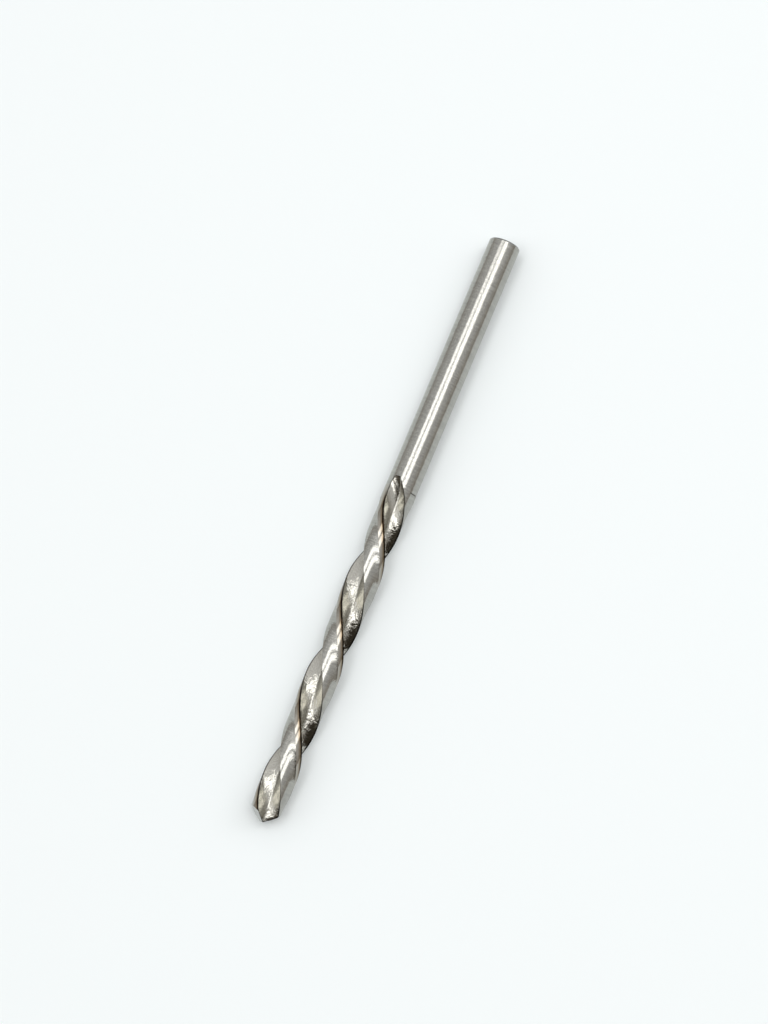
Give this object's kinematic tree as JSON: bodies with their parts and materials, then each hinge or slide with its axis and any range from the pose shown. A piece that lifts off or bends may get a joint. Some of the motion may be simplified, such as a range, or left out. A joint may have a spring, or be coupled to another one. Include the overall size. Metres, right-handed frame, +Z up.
{
  "type": "left-hand twist drill bit",
  "caption": "Small left-hand twist drill bit of ground high-speed steel with a plain round shank, for drilling metal with the spindle turning backwards.",
  "frame": {"origin": "on the floor under the middle of the bit's length, the bit lying on its side", "axes": "+X along the bit's axis from the point to the shank end, +Z up from the floor it lies on"},
  "size_m": [0.075, 0.004, 0.004],
  "materials": {
    "ground_steel": "ground bright high-speed steel, warm-toned in the flutes"
  },
  "bodies": {
    "root": {"drill_bit": "ground_steel"}
  },
  "joints": []
}
